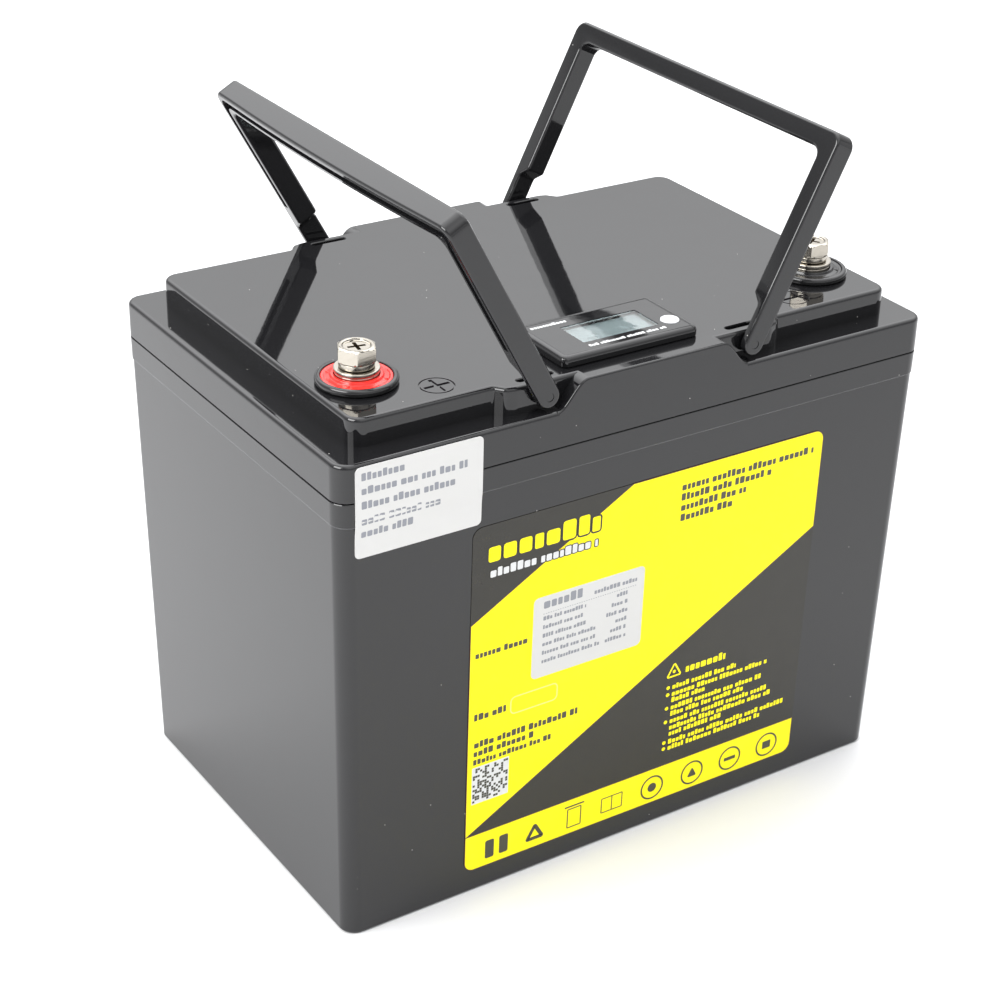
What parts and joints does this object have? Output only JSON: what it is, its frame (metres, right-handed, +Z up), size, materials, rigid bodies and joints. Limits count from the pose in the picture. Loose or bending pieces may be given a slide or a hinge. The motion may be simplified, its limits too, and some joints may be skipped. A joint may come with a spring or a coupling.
{
  "type": "deep cycle battery",
  "caption": "Sealed rectangular caravan battery with a raised lid, two fold-down bail handles, bolt terminals and a small charge display.",
  "frame": {"origin": "centre of the underside", "axes": "+X along the case towards the negative terminal, -Y out of the labelled front, +Z up"},
  "size_m": [0.26, 0.1683, 0.2791],
  "materials": {
    "gloss_black": "polished moulded ABS",
    "satin_black": "satin moulded nylon",
    "terminal_red": "polished moulded insert",
    "nickel_steel": "nickel plated, bright",
    "nickel_brass": "nickel plated brass",
    "pin_steel": "plain turned steel",
    "button_white": "smooth moulded cap",
    "label_film": "printed film, yellow and black fields",
    "sticker_white": "white vinyl",
    "display_film": "fine textured front film",
    "window_clear": "clear acrylic",
    "lcd_grey": "unlit liquid crystal panel",
    "board_green": "solder resist",
    "bare_aluminium": "rolled plate",
    "cell_blue": "shrink film over an aluminium can",
    "grey_foam": "closed-cell foam",
    "lead_red": "silicone jacket",
    "lead_black": "silicone jacket",
    "strap_white": "glass-fibre strapping tape"
  },
  "bodies": {
    "battery": {"base_pad": "grey_foam", "busbar_1": "bare_aluminium", "busbar_2": "bare_aluminium", "busbar_3": "bare_aluminium", "busbar_4": "bare_aluminium", "busbar_5": "bare_aluminium", "busbar_6": "bare_aluminium", "busbar_7": "bare_aluminium", "button_switch": "satin_black", "case": "gloss_black", "cell_1": "cell_blue", "cell_2": "cell_blue", "cell_3": "cell_blue", "cell_4": "cell_blue", "cell_5": "cell_blue", "cell_6": "cell_blue", "cell_7": "cell_blue", "cell_8": "cell_blue", "cell_negative_lead": "lead_black", "control_board": "board_green", "corner_sticker": "sticker_white", "data_sticker": "sticker_white", "display_board": "board_green", "display_face": "display_film", "display_housing": "gloss_black", "display_lead": "lead_black", "display_panel": "lcd_grey", "display_window": "window_clear", "end_pad_left": "grey_foam", "end_pad_right": "grey_foam", "front_label": "label_film", "heat_spreader": "bare_aluminium", "hinge_pin_left_back": "pin_steel", "hinge_pin_left_front": "pin_steel", "hinge_pin_right_back": "pin_steel", "hinge_pin_right_front": "pin_steel", "insulation_board": "sticker_white", "lid": "gloss_black", "lower_strap": "strap_white", "negative_bolt": "nickel_steel", "negative_flat_washer": "nickel_steel", "negative_ring": "gloss_black", "negative_spring_washer": "nickel_steel", "negative_terminal_bush": "nickel_brass", "negative_terminal_collar": "satin_black", "output_negative_lead": "lead_black", "positive_bolt": "nickel_steel", "positive_flat_washer": "nickel_steel", "positive_lead": "lead_red", "positive_ring": "terminal_red", "positive_spring_washer": "nickel_steel", "positive_terminal_bush": "nickel_brass", "positive_terminal_collar": "satin_black", "sense_ribbon": "lead_black", "side_pad_back": "grey_foam", "side_pad_front": "grey_foam", "upper_strap": "strap_white"},
    "left_bail": {"handle_left": "gloss_black"},
    "right_bail": {"handle_right": "gloss_black"},
    "check_button": {"display_button": "button_white"}
  },
  "joints": [
    {"name": "left_bail_hinge", "type": "hinge", "parent": "battery", "child": "left_bail", "pos_m": [-0.0455, 0, 0.2037], "axis": [0, 1, 0], "range_deg": [-61, 59]},
    {"name": "right_bail_hinge", "type": "hinge", "parent": "battery", "child": "right_bail", "pos_m": [0.0455, 0, 0.2037], "axis": [0, -1, 0], "range_deg": [-63.5, 56.5]},
    {"name": "button_press", "type": "slide", "parent": "battery", "child": "check_button", "axis": [0, 0, -1], "range_m": [0, 0.0005], "stiffness_N_per_m": 400, "springref_m": -0.0005}
  ]
}
